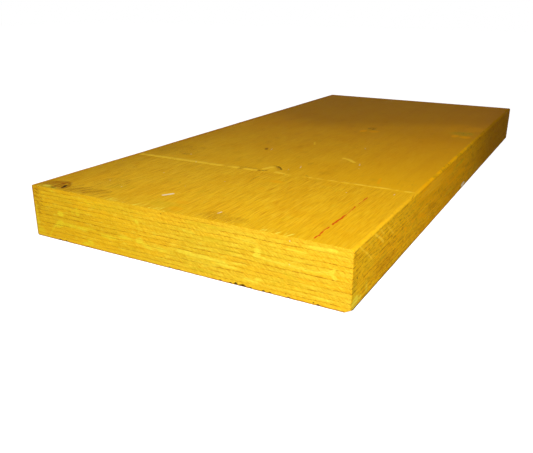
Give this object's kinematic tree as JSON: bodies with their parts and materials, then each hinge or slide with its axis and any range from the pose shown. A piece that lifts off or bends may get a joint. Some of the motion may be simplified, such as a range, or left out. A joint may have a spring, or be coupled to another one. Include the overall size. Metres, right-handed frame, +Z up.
{
  "type": "laminated veneer lumber beam",
  "caption": "Flat timber plank pressed from parallel peeled veneers, glue lines showing on every sawn edge, with a scarfed joint across the upper face.",
  "frame": {"origin": "centre of the underside, where the plank rests on a level floor", "axes": "+Y along the grain from the front end to the rear end, +X across the width towards the right side, +Z up through the veneers"},
  "size_m": [0.25, 0.55, 0.039],
  "materials": {
    "face_veneer": "satin",
    "core_veneer": "satin"
  },
  "bodies": {
    "root": {"bottom_face_veneer": "face_veneer", "core_veneer_02": "core_veneer", "core_veneer_03": "core_veneer", "core_veneer_04": "core_veneer", "core_veneer_05": "core_veneer", "core_veneer_06": "core_veneer", "core_veneer_07": "core_veneer", "core_veneer_08": "core_veneer", "core_veneer_09": "core_veneer", "core_veneer_10": "core_veneer", "core_veneer_11": "core_veneer", "core_veneer_12": "core_veneer", "top_face_veneer_front": "face_veneer", "top_face_veneer_rear": "face_veneer"}
  },
  "joints": []
}
